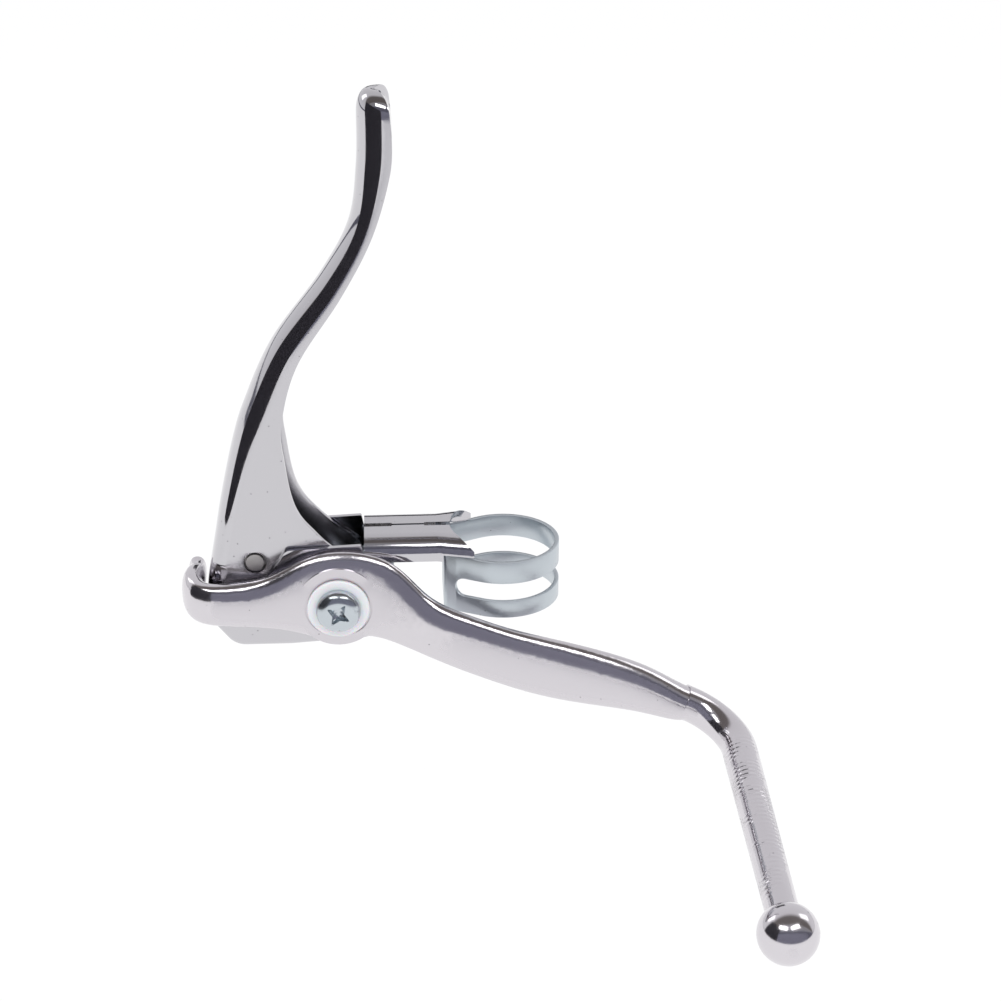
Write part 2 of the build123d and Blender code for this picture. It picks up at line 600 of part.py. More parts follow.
with BuildPart() as extension_lever:
    loft(arm_sections)
    flat_start = NOSE_X - HOOK_GAP
    with BuildSketch(across(arm_inner_y)):
        with Locations((flat_start, 0)):
            Rectangle(ARM_FLAT_X - flat_start, BALL_RADIUS * 6, align=(Align.MIN, Align.CENTER))
    extrude(amount=-ARM_THICKNESS, mode=Mode.SUBTRACT)
    with BuildLine() as bend_path:
        Line(bend_start - arm_direction * rod_sink, bend_start)
        TangentArc(bend_start, bend_end, tangent=arm_direction)
    with BuildSketch(rod_plane.offset(-rod_sink)):
        Circle(ROD_RADIUS)
    sweep(path=bend_path.line)
    rod_length = (ball - bend_end).length
    with Locations(Plane(origin=bend_end, z_dir=rod_direction)):
        Cone(ROD_RADIUS, ROD_END_RADIUS, rod_length, align=(Align.CENTER, Align.CENTER, Align.MIN))
    with Locations(BALL_CENTRE):
        Sphere(BALL_RADIUS)
    with BuildSketch(along_y(PIVOT_X, PIVOT_Z, arm_inner_y)):
        Circle(WASHER_RADIUS + BOSS_WALL)
    extrude(amount=ARM_THICKNESS)
    with BuildSketch(along_y(PIVOT_X, PIVOT_Z, arm_outer_y)):
        Circle(WASHER_RADIUS + SPOT_FACE_PLAY)
    extrude(amount=ARM_THICKNESS, mode=Mode.SUBTRACT)
    with BuildSketch(along_y(PIVOT_X, PIVOT_Z, arm_inner_y)):
        Circle(SLEEVE_RADIUS + RUNNING_CLEARANCE)
    extrude(amount=ARM_THICKNESS * 2, mode=Mode.SUBTRACT)
save(extension_lever.part, "extension_lever")
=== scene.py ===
"""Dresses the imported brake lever: finished pieces, finishes, stage, lamps and camera."""

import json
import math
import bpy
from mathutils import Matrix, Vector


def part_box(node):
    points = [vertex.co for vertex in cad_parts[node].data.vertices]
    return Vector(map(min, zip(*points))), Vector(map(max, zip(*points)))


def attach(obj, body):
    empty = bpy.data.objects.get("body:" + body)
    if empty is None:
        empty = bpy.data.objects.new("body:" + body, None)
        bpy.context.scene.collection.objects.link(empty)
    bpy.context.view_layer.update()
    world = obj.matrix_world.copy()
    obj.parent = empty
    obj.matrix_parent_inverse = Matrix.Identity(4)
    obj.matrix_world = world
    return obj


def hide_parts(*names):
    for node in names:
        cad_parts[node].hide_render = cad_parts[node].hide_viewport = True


bl_info = {
    "name": "Bicycle Brake Lever",
    "version": (1, 0, 0),
    "blender": (4, 5, 0),
    "location": "View3D > Sidebar > Brake Lever",
    "description": "Builds the finished pieces of a bicycle brake lever round its fixed frame",
    "category": "Add Mesh",
}

import bmesh
import bpy
from bpy.props import FloatProperty, FloatVectorProperty, PointerProperty
from mathutils import Matrix, Vector

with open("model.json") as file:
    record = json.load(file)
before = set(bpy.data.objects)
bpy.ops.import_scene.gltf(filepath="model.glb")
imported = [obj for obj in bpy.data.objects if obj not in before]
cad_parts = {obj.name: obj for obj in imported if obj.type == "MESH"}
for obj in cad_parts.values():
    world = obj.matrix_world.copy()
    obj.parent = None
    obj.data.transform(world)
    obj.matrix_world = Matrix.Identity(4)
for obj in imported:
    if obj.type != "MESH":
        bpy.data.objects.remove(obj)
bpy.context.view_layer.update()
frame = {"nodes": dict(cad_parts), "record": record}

lowest_z = min(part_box(name)[0].z for name in frame["nodes"])

# Lengths are in millimetres unless a name or a comment says otherwise
MM = 0.001
MERGE_DISTANCE = 0.002 * MM
SHARP_ANGLE = math.radians(28)
BEVEL_ANGLE = math.radians(50)
NODE_SPACING = 200


class LeverFinishProperties(bpy.types.PropertyGroup):
    chrome_colour: FloatVectorProperty(
        name="Chrome", description="Colour of the chromed steel", subtype="COLOR",
        size=3, min=0, max=1, default=(0.58, 0.57, 0.595),
    )
    aluminium_colour: FloatVectorProperty(
        name="Aluminium", description="Colour of the cast extension lever", subtype="COLOR",
        size=3, min=0, max=1, default=(0.68, 0.655, 0.685),
    )
    zinc_colour: FloatVectorProperty(
        name="Zinc", description="Colour of the plated screw, bolt and nut", subtype="COLOR",
        size=3, min=0, max=1, default=(0.56, 0.605, 0.64),
    )
    nylon_colour: FloatVectorProperty(
        name="Nylon", description="Colour of the pivot's washers", subtype="COLOR",
        size=3, min=0, max=1, default=(0.82, 0.82, 0.84),
    )
    wear: FloatProperty(
        name="Wear", description="How strongly the fine scratches and specks show",
        subtype="FACTOR", min=0, max=1, default=0.5,
    )


class LeverStageProperties(bpy.types.PropertyGroup):
    azimuth: FloatProperty(
        name="Azimuth", description="The camera's turn about the handlebar's axis",
        subtype="ANGLE", default=math.radians(-3.0),
    )
    elevation: FloatProperty(
        name="Elevation", description="The camera's height above the level",
        subtype="ANGLE", default=math.radians(25.5),
    )
    distance: FloatProperty(
        name="Distance", description="From the camera to the clamp band",
        unit="LENGTH", min=0.1, default=0.492,
    )
    lens: FloatProperty(
        name="Lens", description="Focal length in millimetres", subtype="DISTANCE_CAMERA",
        min=10, default=81.28,
    )
    floor_colour: FloatVectorProperty(
        name="Floor", description="Colour of the floor", subtype="COLOR",
        size=3, min=0, max=1, default=(0.93, 0.93, 0.935),
    )
    lamp_power: FloatProperty(
        name="Lamp power", description="Power of the two front lamps together", unit="POWER",
        min=0, default=2.2,
    )


def new_node(tree, kind, place=(0, 0), **values):
    """A node whose settings and input values are given by name."""
    node = tree.nodes.new(kind)
    node.location = (place[0] * NODE_SPACING, place[1] * NODE_SPACING)
    for key, value in values.items():
        if key in node.bl_rna.properties:
            setattr(node, key, value)
        else:
            node.inputs[key.replace("_", " ")].default_value = value
    return node


def shader_group(name, inputs, outputs):
    """An empty shader node group with named inputs and outputs."""
    tree = bpy.data.node_groups.new(name, "ShaderNodeTree")
    for socket, kind, default in inputs:
        made = tree.interface.new_socket(name=socket, in_out="INPUT", socket_type=kind)
        if default is not None:
            made.default_value = default
    for socket, kind in outputs:
        tree.interface.new_socket(name=socket, in_out="OUTPUT", socket_type=kind)
    return tree


def place_group(tree, group, place=(0, 0), **values):
    """A shader group's node whose input values are given by name."""
    node = tree.nodes.new("ShaderNodeGroup")
    node.node_tree = group
    node.location = (place[0] * NODE_SPACING, place[1] * NODE_SPACING)
    for key, value in values.items():
        node.inputs[key.replace("_", " ")].default_value = value
    return node


def build_scuff_group():
    """Fine scratches along one direction, broken up into patches."""
    group = shader_group(
        "FineScuffs",
        [
            ("Vector", "NodeSocketVector", None),
            ("Scale", "NodeSocketFloat", 400.0),
            ("Patch Scale", "NodeSocketFloat", 60.0),
            ("Amount", "NodeSocketFloat", 0.5),
        ],
        [("Mask", "NodeSocketFloat"), ("Height", "NodeSocketFloat")],
    )
    enter = new_node(group, "NodeGroupInput", (-4, 0))
    leave = new_node(group, "NodeGroupOutput", (3, 0))
    fine = new_node(group, "ShaderNodeTexNoise", (-2, 1), Detail=4.0, Roughness=0.6)
    patch = new_node(group, "ShaderNodeTexNoise", (-2, -1), Detail=3.0, Roughness=0.55)
    ramp = new_node(group, "ShaderNodeMapRange", (-1, -1), From_Min=0.42, From_Max=0.68)
    product = new_node(group, "ShaderNodeMath", (0, 0), operation="MULTIPLY")
    amount = new_node(group, "ShaderNodeMath", (1, 0), operation="MULTIPLY")
    for noise, scale in ((fine, "Scale"), (patch, "Patch Scale")):
        group.links.new(enter.outputs["Vector"], noise.inputs["Vector"])
        group.links.new(enter.outputs[scale], noise.inputs["Scale"])
    group.links.new(patch.outputs[0], ramp.inputs["Value"])
    group.links.new(fine.outputs[0], product.inputs[0])
    group.links.new(ramp.outputs[0], product.inputs[1])
    group.links.new(product.outputs[0], amount.inputs[0])
    group.links.new(enter.outputs["Amount"], amount.inputs[1])
    group.links.new(amount.outputs[0], leave.inputs["Mask"])
    group.links.new(fine.outputs[0], leave.inputs["Height"])
    return group


def build_speck_group():
    """Small dark specks and pits, as dust and tiny marks on plated metal."""
    group = shader_group(
        "Specks",
        [
            ("Vector", "NodeSocketVector", None),
            ("Scale", "NodeSocketFloat", 900.0),
            ("Size", "NodeSocketFloat", 0.12),
            ("Cover", "NodeSocketFloat", 0.45),
        ],
        [("Mask", "NodeSocketFloat")],
    )
    enter = new_node(group, "NodeGroupInput", (-4, 0))
    leave = new_node(group, "NodeGroupOutput", (3, 0))
    cells = new_node(group, "ShaderNodeTexVoronoi", (-2, 0))
    near = new_node(group, "ShaderNodeMath", (-1, 1), operation="LESS_THAN")
    some = new_node(group, "ShaderNodeSeparateColor", (-1, -1))
    few = new_node(group, "ShaderNodeMath", (0, -1), operation="LESS_THAN")
    both = new_node(group, "ShaderNodeMath", (1, 0), operation="MULTIPLY")
    group.links.new(enter.outputs["Vector"], cells.inputs["Vector"])
    group.links.new(enter.outputs["Scale"], cells.inputs["Scale"])
    group.links.new(cells.outputs["Distance"], near.inputs[0])
    group.links.new(enter.outputs["Size"], near.inputs[1])
    group.links.new(cells.outputs["Color"], some.inputs[0])
    group.links.new(some.outputs[0], few.inputs[0])
    group.links.new(enter.outputs["Cover"], few.inputs[1])
    group.links.new(near.outputs[0], both.inputs[0])
    group.links.new(few.outputs[0], both.inputs[1])
    group.links.new(both.outputs[0], leave.inputs["Mask"])
    return group


# A normal's share along Y where a face starts to count as flat, and where it fully does
FLAT_RANGE = (0.972, 0.99)
FLAT_RAGGED = 0.012


def flat_mask(tree, place):
    """1 on faces that look along Y and 0 on rounded ones, with a ragged border."""
    geometry = new_node(tree, "ShaderNodeNewGeometry", (place[0], place[1]))
    parts = new_node(tree, "ShaderNodeSeparateXYZ", (place[0] + 1, place[1]))
    size = new_node(tree, "ShaderNodeMath", (place[0] + 2, place[1]), operation="ABSOLUTE")
    coords = new_node(tree, "ShaderNodeTexCoord", (place[0], place[1] - 1))
    ragged = new_node(tree, "ShaderNodeTexNoise", (place[0] + 1, place[1] - 1), Scale=900.0, Detail=3.0)
    jitter = new_node(
        tree, "ShaderNodeMapRange", (place[0] + 2, place[1] - 1), To_Min=-FLAT_RAGGED, To_Max=FLAT_RAGGED,
    )
    total = new_node(tree, "ShaderNodeMath", (place[0] + 3, place[1]), operation="ADD")
    step = new_node(
        tree, "ShaderNodeMapRange", (place[0] + 4, place[1]),
        From_Min=FLAT_RANGE[0], From_Max=FLAT_RANGE[1],
    )
    tree.links.new(geometry.outputs["Normal"], parts.inputs[0])
    tree.links.new(parts.outputs["Y"], size.inputs[0])
    tree.links.new(coords.outputs["Object"], ragged.inputs["Vector"])
    tree.links.new(ragged.outputs[0], jitter.inputs["Value"])
    tree.links.new(size.outputs[0], total.inputs[0])
    tree.links.new(jitter.outputs[0], total.inputs[1])
    tree.links.new(total.outputs[0], step.inputs["Value"])
    return step.outputs[0]


# Places along Y between which the grinding's ridges grow from none to full, at the bend and at the ball
GRINDING_START = (-24, -34)
GRINDING_END = (-80, -76)


def chatter_height(tree, place):
    """Short ridges across the rod, left by the grinding of its upper side, in patches."""
    coords = new_node(tree, "ShaderNodeTexCoord", (place[0], place[1]))
    bands = new_node(
        tree, "ShaderNodeTexWave", (place[0] + 1, place[1]), bands_direction="Y",
        Scale=230.0, Distortion=1.2, Detail=1.0,
    )
    patch = new_node(tree, "ShaderNodeTexNoise", (place[0] + 1, place[1] - 1), Scale=160.0, Detail=2.0)
    cover = new_node(tree, "ShaderNodeMapRange", (place[0] + 2, place[1] - 1), From_Min=0.42, From_Max=0.6)
    parts = new_node(tree, "ShaderNodeSeparateXYZ", (place[0] + 1, place[1] - 2))
    bend_side, ball_side = (
        new_node(
            tree, "ShaderNodeMapRange", (place[0] + 2, place[1] - row),
            From_Min=near * MM, From_Max=far * MM,
        )
        for row, (near, far) in ((2, GRINDING_START), (3, GRINDING_END))
    )
    first, second, third = (
        new_node(tree, "ShaderNodeMath", (place[0] + column, place[1]), operation="MULTIPLY")
        for column in (3, 4, 5)
    )
    tree.links.new(coords.outputs["Object"], bands.inputs["Vector"])
    tree.links.new(coords.outputs["Object"], patch.inputs["Vector"])
    tree.links.new(coords.outputs["Object"], parts.inputs[0])
    tree.links.new(patch.outputs[0], cover.inputs["Value"])
    tree.links.new(parts.outputs["Y"], bend_side.inputs["Value"])
    tree.links.new(parts.outputs["Y"], ball_side.inputs["Value"])
    tree.links.new(bands.outputs["Fac"], first.inputs[0])
    tree.links.new(cover.outputs[0], first.inputs[1])
    tree.links.new(first.outputs[0], second.inputs[0])
    tree.links.new(bend_side.outputs[0], second.inputs[1])
    tree.links.new(second.outputs[0], third.inputs[0])
    tree.links.new(ball_side.outputs[0], third.inputs[1])
    return third.outputs[0]


RAW_STEEL = (0.44, 0.425, 0.42)
SPECK_SHADE = 0.35
SCUFF_ROUGHNESS = 0.3
SCUFF_RELIEF = 0.05
GRINDING_RELIEF = 0.2


def plated_metal(
    name, colour, groups, wear, polish, stretch=(1, 1, 1), grain=0.02, specks=0.12,
    flat_polish=None, ground_rod=False,
):
    """A metal with fine scuffs in its gloss and relief, and a few dark specks."""
    scuffs, speck = groups
    material = bpy.data.materials.new(name)
    material.use_nodes = True
    tree = material.node_tree
    shader = tree.nodes["Principled BSDF"]
    shader.inputs["Metallic"].default_value = 1.0
    coords = new_node(tree, "ShaderNodeTexCoord", (-9, 0))
    mapping = new_node(tree, "ShaderNodeMapping", (-8, 0))
    mapping.inputs["Scale"].default_value = stretch
    tree.links.new(coords.outputs["Object"], mapping.inputs["Vector"])
    fine = place_group(tree, scuffs, (-6, 1), Scale=700.0, Patch_Scale=70.0, Amount=wear)
    marks = place_group(tree, speck, (-6, -1), Cover=specks)
    tree.links.new(mapping.outputs[0], fine.inputs["Vector"])
    tree.links.new(coords.outputs["Object"], marks.inputs["Vector"])
    tint = new_node(tree, "ShaderNodeMix", (-2, 1), data_type="RGBA")
    shades = {"A": (*colour, 1), "B": (*(channel * SPECK_SHADE for channel in colour), 1)}
    for socket in tint.inputs:
        if socket.type == "RGBA" and socket.name in shades:
            socket.default_value = shades[socket.name]
    tree.links.new(marks.outputs["Mask"], tint.inputs[0])
    tree.links.new(tint.outputs[2], shader.inputs["Base Color"])
    gloss = new_node(tree, "ShaderNodeMapRange", (-4, 0), To_Min=polish, To_Max=polish + SCUFF_ROUGHNESS)
    tree.links.new(fine.outputs["Mask"], gloss.inputs["Value"])
    roughness = gloss.outputs[0]
    if flat_polish is not None:
        blend = new_node(tree, "ShaderNodeMix", (-2, 0), data_type="FLOAT")
        tree.links.new(flat_mask(tree, (-9, 4)), blend.inputs[0])
        tree.links.new(roughness, blend.inputs[2])
        blend.inputs[3].default_value = flat_polish
        roughness = blend.outputs[0]
    tree.links.new(roughness, shader.inputs["Roughness"])
    bump = new_node(tree, "ShaderNodeBump", (-3, -1), Strength=grain, Distance=SCUFF_RELIEF * MM)
    tree.links.new(fine.outputs["Height"], bump.inputs["Height"])
    normal = bump.outputs[0]
    if ground_rod:
        ridges = new_node(
            tree, "ShaderNodeBump", (-2, -2), Strength=0.6, Distance=GRINDING_RELIEF * MM,
        )
        tree.links.new(chatter_height(tree, (-9, -4)), ridges.inputs["Height"])
        tree.links.new(normal, ridges.inputs["Normal"])
        normal = ridges.outputs[0]
    tree.links.new(normal, shader.inputs["Normal"])
    return material


def nylon_material(name, colour, scuffs):
    """A pale plastic that light enters a little, with faint scuffs."""
    material = bpy.data.materials.new(name)
    material.use_nodes = True
    tree = material.node_tree
    shader = tree.nodes["Principled BSDF"]
    shader.inputs["Base Color"].default_value = (*colour, 1)
    shader.inputs["Subsurface Weight"].default_value = 0.4
    shader.inputs["Subsurface Scale"].default_value = 1.0 * MM
    coords = new_node(tree, "ShaderNodeTexCoord", (-7, 0))
    fine = place_group(tree, scuffs, (-4, 1), Scale=900.0, Patch_Scale=200.0, Amount=0.5)
    tree.links.new(coords.outputs["Object"], fine.inputs["Vector"])
    gloss = new_node(tree, "ShaderNodeMapRange", (-2, 0), To_Min=0.32, To_Max=0.6)
    tree.links.new(fine.outputs["Mask"], gloss.inputs["Value"])
    tree.links.new(gloss.outputs[0], shader.inputs["Roughness"])
    bump = new_node(tree, "ShaderNodeBump", (-2, -1), Strength=0.05, Distance=SCUFF_RELIEF * MM)
    tree.links.new(fine.outputs["Height"], bump.inputs["Height"])
    tree.links.new(bump.outputs[0], shader.inputs["Normal"])
    return material


finishes = {}


def build_finishes(context):
    """Every finish, made once, under the record's slot names."""
    if finishes:
        return
    look = context.scene.lever_finish
    groups = (build_scuff_group(), build_speck_group())
    chrome = tuple(look.chrome_colour)
    zinc = tuple(look.zinc_colour)
    finishes["chrome_steel"] = plated_metal("chrome_steel", chrome, groups, look.wear, 0.06)
    finishes["lever_chrome"] = plated_metal(
        "lever_chrome", chrome, groups, look.wear, 0.05, specks=0.2, flat_polish=0.2,
    )
    finishes["polished_aluminium"] = plated_metal(
        "polished_aluminium", tuple(look.aluminium_colour), groups, look.wear, 0.13,
        stretch=(0.25, 1, 1), grain=0.05, specks=0.06, flat_polish=0.34, ground_rod=True,
    )
    finishes["zinc_steel"] = plated_metal("zinc_steel", zinc, groups, look.wear, 0.2, grain=0.05)
    finishes["zinc_strap"] = plated_metal(
        "zinc_strap", zinc, groups, look.wear, 0.3, stretch=(1, 1, 0.2), grain=0.06,
    )
    finishes["satin_steel"] = plated_metal("satin_steel", RAW_STEEL, groups, look.wear, 0.38, specks=0.4)
    finishes["nylon"] = nylon_material("nylon", tuple(look.nylon_colour), groups[0])


def node_facts(node):
    """The body that a frame node rides on and its material slot."""
    behaviour = frame["record"]["behaviour"]
    body = next(name for name, nodes in behaviour["bodies"].items() if node in nodes)
    slot = next(row["material_slot"] for row in frame["record"]["subparts"] if row["node"] == node)
    return body, slot


def smooth_copy(node, name):
    """A merged copy of a frame node's mesh with smooth faces, which stands for the node."""
    mesh = frame["nodes"][node].data.copy()
    mesh.name = name
    work = bmesh.new()
    work.from_mesh(mesh)
    bmesh.ops.remove_doubles(work, verts=work.verts, dist=MERGE_DISTANCE)
    work.to_mesh(mesh)
    work.free()
    for attribute in ("custom_normal", "sharp_face"):
        if attribute in mesh.attributes:
            mesh.attributes.remove(mesh.attributes[attribute])
    return seat(shaded(mesh), name, node)


def add_piece(mesh, name, body, slot):
    """Links a finished mesh with its finish, on the body that carries it."""
    piece = bpy.data.objects.new(name, mesh)
    bpy.context.scene.collection.objects.link(piece)
    mesh.materials.clear()
    mesh.materials.append(finishes[slot])
    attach(piece, body)
    return piece


def seat(mesh, name, node):
    """Links a finished mesh in place of a frame node, on its body and with its finish."""
    piece = add_piece(mesh, name, *node_facts(node))
    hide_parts(node)
    return piece


def plain_mesh(work):
    """The evaluated mesh of a working object, which is removed."""
    bpy.context.view_layer.update()
    mesh = bpy.data.meshes.new_from_object(work.evaluated_get(bpy.context.evaluated_depsgraph_get()))
    bpy.data.objects.remove(work)
    return mesh


def finished(mesh, modifiers):
    """A plain mesh of the given mesh with Blender modifiers applied to it."""
    work = bpy.data.objects.new("work", mesh)
    bpy.context.scene.collection.objects.link(work)
    for kind, values in modifiers:
        modifier = work.modifiers.new(kind, kind)
        for key, value in values.items():
            setattr(modifier, key, value)
    return plain_mesh(work)


def drilled(mesh, holes, axis):
    """The mesh with round holes along X or Y, each given by its centre, radius and length."""
    cutters = []
    for centre, radius, length in holes:
        work = bmesh.new()
        place = Matrix.Translation(centre) @ Matrix.Rotation(math.pi / 2, 4, "X" if axis == "Y" else "Y")
        bmesh.ops.create_cone(
            work, segments=64, radius1=radius, radius2=radius, depth=length, cap_ends=True, matrix=place,
        )
        cutter_mesh = bpy.data.meshes.new("cutter")
        work.to_mesh(cutter_mesh)
        work.free()
        cutter = bpy.data.objects.new("cutter", cutter_mesh)
        bpy.context.scene.collection.objects.link(cutter)
        cutters.append(cutter)
    cut = {"operation": "DIFFERENCE", "solver": "EXACT"}
    result = finished(mesh, [("BOOLEAN", {**cut, "object": cutter}) for cutter in cutters])
    for cutter in cutters:
        bpy.data.objects.remove(cutter)
    return result


def rounded_rims(width):
    """The bevel that gives sheet edges their bright line."""
    values = {"width": width, "segments": 2, "limit_method": "ANGLE", "angle_limit": BEVEL_ANGLE}
    return [("BEVEL", values)]


def shaded(mesh):
    """The mesh with smooth faces between its sharp edges."""
    mesh.shade_smooth()
    mesh.set_sharp_from_angle(angle=SHARP_ANGLE)
    return mesh


def through(rows, share):
    """A point on the smooth line through the rows of numbers, with share from 0 to 1."""
    place = share * (len(rows) - 1)
    index = min(int(place), len(rows) - 2)
    t = place - index
    before = rows[max(index - 1, 0)]
    after = rows[min(index + 2, len(rows) - 1)]
    result = []
    for p0, p1, p2, p3 in zip(before, rows[index], rows[index + 1], after):
        swing = (3 * (p1 - p2) + p3 - p0) * t
        result.append(p1 + t * ((p2 - p0) + t * ((2 * p0 - 5 * p1 + 4 * p2 - p3) + swing)) / 2)
    return result


def crown_profile(depth, half, power, count):
    """Points (depth, y) round the crown from the near wall to the far wall."""
    points = []
    for index in range(count + 1):
        angle = math.pi * (index / count - 0.5)
        side = math.copysign(abs(math.sin(angle)) ** (2 / power), math.sin(angle))
        rise = abs(math.cos(angle)) ** (2 / power)
        points.append((depth * (1 - rise), half * side))
    return points


def skin(loops):
    """A closed skin over rows of points, where the last point of a row joins its first."""
    work = bmesh.new()
    rows = [[work.verts.new(Vector(point) * MM) for point in loop] for loop in loops]
    for row, following in zip(rows, rows[1:]):
        for index in range(len(row)):
            ahead = (index + 1) % len(row)
            work.faces.new((row[index], row[ahead], following[ahead], following[index]))
    return work, rows


def strip(work, near, far):
    """Faces between two open rows of vertices."""
    for index in range(len(near) - 1):
        work.faces.new((near[index], near[index + 1], far[index + 1], far[index]))


def closed_mesh(work, name):
    """The mesh of a finished skin, with its double points merged and its faces turned outward."""
    bmesh.ops.remove_doubles(work, verts=work.verts, dist=MERGE_DISTANCE)
    bmesh.ops.dissolve_degenerate(work, edges=work.edges, dist=MERGE_DISTANCE)
    bmesh.ops.recalc_face_normals(work, faces=work.faces)
    mesh = bpy.data.meshes.new(name)
    work.to_mesh(mesh)
    work.free()
    return mesh


# The blade's stations: crown x and z, open edge x and z, depth and power of the crown's rounding
BLADE_STATIONS = [
    (-64.0, -2.2, -35.6, -9.7, 4.4, 2.5),
    (-63.4, 1.5, -28.1, -2.2, 4.4, 2.5),
    (-62.6, 5.6, -31.3, 3.9, 4.4, 2.5),
    (-61.7, 10.2, -39.0, 10.8, 4.4, 2.4),
    (-60.0, 19.0, -44.0, 17.7, 4.6, 2.4),
    (-57.1, 31.3, -46.0, 28.2, 5.0, 2.3),
    (-54.2, 40.1, -46.3, 36.9, 5.6, 2.2),
    (-48.0, 53.4, -42.6, 50.1, 5.4, 2.2),
    (-37.6, 67.6, -33.2, 64.7, 4.8, 2.1),
    (-31.4, 79.0, -26.6, 77.3, 4.7, 2.1),
    (-29.5, 91.0, -22.7, 90.3, 6.4, 2.0),
    (-29.2, 101.5, -22.2, 98.2, 6.7, 2.0),
]
BLADE_SHEET = 1.2
BLADE_RIM = 0.22
BLADE_TIP_RISE = 6.1
BLADE_ROWS = 90
BLADE_TIP_ROWS = 14
BLADE_SLOPE_STEP = 0.002
CROWN_COLUMNS = 36
WALL_COLUMNS = 3
# Holes across the blade: x, z and radius
PIVOT_HOLE = (-35.6, -2.2, 3.55)
ANCHOR_HOLE = (-53.2, 5.4, 2.42)
BLADE_DRILL = 40


def blade_row(crown, inward, edge, depth, power, half, sheet):
    """One half shell's row of points, from the near open edge round the crown to the far one."""
    start = crown + inward * sheet
    profile = crown_profile(depth - sheet, half - sheet, power, CROWN_COLUMNS)
    shoulder = start + inward * (depth - sheet)
    near = [edge.lerp(shoulder, index / WALL_COLUMNS) for index in range(WALL_COLUMNS)]
    row = [(point.x, sheet - half, point.y) for point in near]
    for profile_depth, y in profile:
        point = start + inward * profile_depth
        row.append((point.x, y, point.y))
    row += [(point.x, half - sheet, point.y) for point in reversed(near)]
    return row


def dome_row(last_row, centre, rise, turn):
    """The last row drawn in and lifted, as a round dome closes over it."""
    shrink, lift = math.cos(turn), rise * math.sin(turn)
    return [
        (centre.x + (x - centre.x) * shrink, y * shrink, centre.y + (z - centre.y) * shrink + lift)
        for x, y, z in last_row
    ]


def blade_mesh():
    """The pressed blade: a channel with a rounded crown and a domed tip."""
    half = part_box("main_lever")[1].y / MM
    loops = []
    for index in range(BLADE_ROWS + 1):
        share = index / BLADE_ROWS
        crown_x, crown_z, edge_x, edge_z, depth, power = through(BLADE_STATIONS, share)
        ahead = through(BLADE_STATIONS, min(share + BLADE_SLOPE_STEP, 1.0))
        behind = through(BLADE_STATIONS, max(share - BLADE_SLOPE_STEP, 0.0))
        along = Vector((ahead[0] - behind[0], ahead[1] - behind[1])).normalized()
        crown, edge = Vector((crown_x, crown_z)), Vector((edge_x, edge_z))
        inward = Vector((along.y, -along.x))
        loops.append([
            blade_row(crown, inward, edge, depth, power, half, sheet) for sheet in (0.0, BLADE_SHEET)
        ])
    last = BLADE_STATIONS[-1]
    centre = Vector((last[0] + last[2], last[1] + last[3])) / 2
    work, rows = skin([outer + inner[::-1] for outer, inner in loops])
    count = len(loops[0][0])
    strip(work, rows[0][:count], rows[0][count:][::-1])
    below = rows[-1][:count]
    work.faces.new((below[0], *rows[-1][count:][::-1], below[-1]))
    for index in range(1, BLADE_TIP_ROWS + 1):
        turn = math.pi / 2 * index / BLADE_TIP_ROWS
        points = dome_row(loops[-1][0], centre, BLADE_TIP_RISE, turn)
        above = [work.verts.new(Vector(point) * MM) for point in points]
        for near in range(count):
            ahead = (near + 1) % count
            work.faces.new((below[near], below[ahead], above[ahead], above[near]))
        below = above
    return closed_mesh(work, "blade")


class LEVER_OT_blade(bpy.types.Operator):
    """The chromed blade and the barrel that holds the cable in it"""

    bl_idname = "lever.blade"
    bl_label = "Blade"

    def execute(self, context):
        build_finishes(context)
        holes = [
            (Vector((x, 0, z)) * MM, radius * MM, BLADE_DRILL * MM)
            for x, z, radius in (PIVOT_HOLE, ANCHOR_HOLE)
        ]
        mesh = finished(drilled(blade_mesh(), holes, "Y"), rounded_rims(BLADE_RIM * MM))
        seat(shaded(mesh), "blade", "main_lever")
        smooth_copy("cable_anchor", "anchor_barrel")
        return {"FINISHED"}


BAND_RADIUS = 12.1
BAND_SHEET = 0.9
BAND_RIM = 0.14
BAND_HALF_HEIGHT = 6.5
# Outer corner of the strap's flat wall: x and the near side's y
BAND_WALL = (-13.1, -7.2)
BAND_CORNER = 1.3
BAND_CORNER_STEPS = 8
BAND_STRAIGHT_STEPS = 12
BAND_ROUND_STEPS = 60
BAND_STEP = 0.175
SLOT_CENTRE_Z = -0.55
SLOT_RADIUS = 2.15
SLOT_END_ANGLE = math.radians(-135)
# The bolt's hole in the flat wall: x, z and radius
BOLT_HOLE = (-12.7, 3.7, 2.15)
BOLT_DRILL = 4
THREAD_INSET = 0.1


def band_path():
    """The strap's outer line from the middle of its flat wall to the far side of the bar."""
    corner = Vector(BAND_WALL)
    touch = math.atan2(corner.y, corner.x) + math.acos(BAND_RADIUS / corner.length)
    tangent = Vector((math.cos(touch), math.sin(touch))) * BAND_RADIUS
    wall, straight = Vector((0, -1)), (tangent - corner).normalized()
    turn = wall.angle(straight)
    cut = BAND_CORNER * math.tan(turn / 2)
    centre = corner - wall * cut + Vector((BAND_CORNER, 0))
    points = [Vector((corner.x, 0)), Vector((corner.x, corner.y / 2))]
    for index in range(BAND_CORNER_STEPS + 1):
        angle = math.pi + turn * index / BAND_CORNER_STEPS
        points.append(centre + Vector((math.cos(angle), math.sin(angle))) * BAND_CORNER)
    corner_end = points[-1]
    for index in range(1, BAND_STRAIGHT_STEPS):
        points.append(corner_end.lerp(tangent, index / BAND_STRAIGHT_STEPS))
    for index in range(BAND_ROUND_STEPS + 1):
        angle = touch * (1 - index / BAND_ROUND_STEPS)
        points.append(Vector((math.cos(angle), math.sin(angle))) * BAND_RADIUS)
    return points


